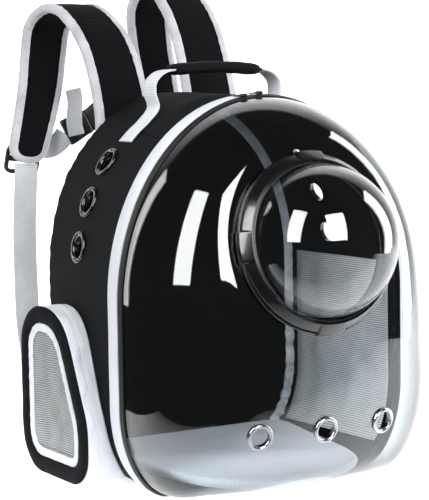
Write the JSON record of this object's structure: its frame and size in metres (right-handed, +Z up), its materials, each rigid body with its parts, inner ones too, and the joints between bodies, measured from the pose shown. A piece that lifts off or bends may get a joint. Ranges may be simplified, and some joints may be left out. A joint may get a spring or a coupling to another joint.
{
  "type": "bubble pet carrier backpack",
  "caption": "Soft-sided backpack for a small pet, with a clear zipped front shell, a round bubble window, side mesh pockets and padded straps.",
  "frame": {"origin": "middle of the resting face on the underside", "axes": "+Z up, the clear front faces -Y, the wearer's back is towards +Y, +X is to the right as seen from the front"},
  "size_m": [0.394, 0.5918, 0.5448],
  "materials": {
    "panel_cloth": "matt woven",
    "black_cloth": "matt woven",
    "strap_cloth": "woven webbing",
    "mat_cloth": "smooth woven",
    "mesh_cloth": "ribbed mesh",
    "white_cloth": "woven",
    "zipper": "matt",
    "clear_plastic": "clear gloss",
    "silver_metal": "polished",
    "strap_pad_cloth": "ribbed mesh",
    "black_plastic": "gloss"
  },
  "bodies": {
    "carrier": {"back_panel": "panel_cloth", "top_gusset": "black_cloth", "bottom_panel": "black_cloth", "inner_binding": "strap_cloth", "floor_mat": "mat_cloth", "side_gusset_left": "black_cloth", "side_mesh_left": "mesh_cloth", "eyelet_left_1": "black_plastic", "eyelet_left_2": "black_plastic", "eyelet_left_3": "black_plastic", "side_gusset_right": "black_cloth", "side_mesh_right": "mesh_cloth", "eyelet_right_1": "black_plastic", "eyelet_right_2": "black_plastic", "eyelet_right_3": "black_plastic", "front_band": "white_cloth", "zipper_tape": "zipper", "clear_shell": "clear_plastic", "grommet_1": "silver_metal", "grommet_2": "silver_metal", "grommet_3": "silver_metal", "zipper_pull_left": "black_plastic", "zipper_pull_right": "black_plastic", "bubble_collar": "black_plastic", "pocket_gusset_left": "white_cloth", "pocket_face_left": "black_cloth", "pocket_trim_left": "white_cloth", "pocket_mesh_left": "mesh_cloth", "pocket_gusset_right": "white_cloth", "pocket_face_right": "black_cloth", "pocket_trim_right": "white_cloth", "pocket_mesh_right": "mesh_cloth", "handle_webbing": "white_cloth", "handle_grip": "black_plastic", "strap_pad_left": "strap_pad_cloth", "strap_binding_left": "strap_cloth", "ladder_lock_left": "black_plastic", "lower_webbing_left": "strap_cloth", "strap_pad_right": "strap_pad_cloth", "strap_binding_right": "strap_cloth", "ladder_lock_right": "black_plastic", "lower_webbing_right": "strap_cloth", "chest_webbing_left": "strap_cloth", "chest_webbing_right": "strap_cloth", "chest_tail": "strap_cloth", "buckle_female": "black_plastic", "buckle_male": "black_plastic"},
    "bubble": {"lock_ring": "black_plastic", "bubble_dome": "clear_plastic"}
  },
  "joints": [
    {"name": "bubble_twist", "type": "hinge", "parent": "carrier", "child": "bubble", "pos_m": [0, -0.1445, 0.2605], "axis": [0, -0.9781, 0.2079], "range_deg": [0, 20]}
  ]
}
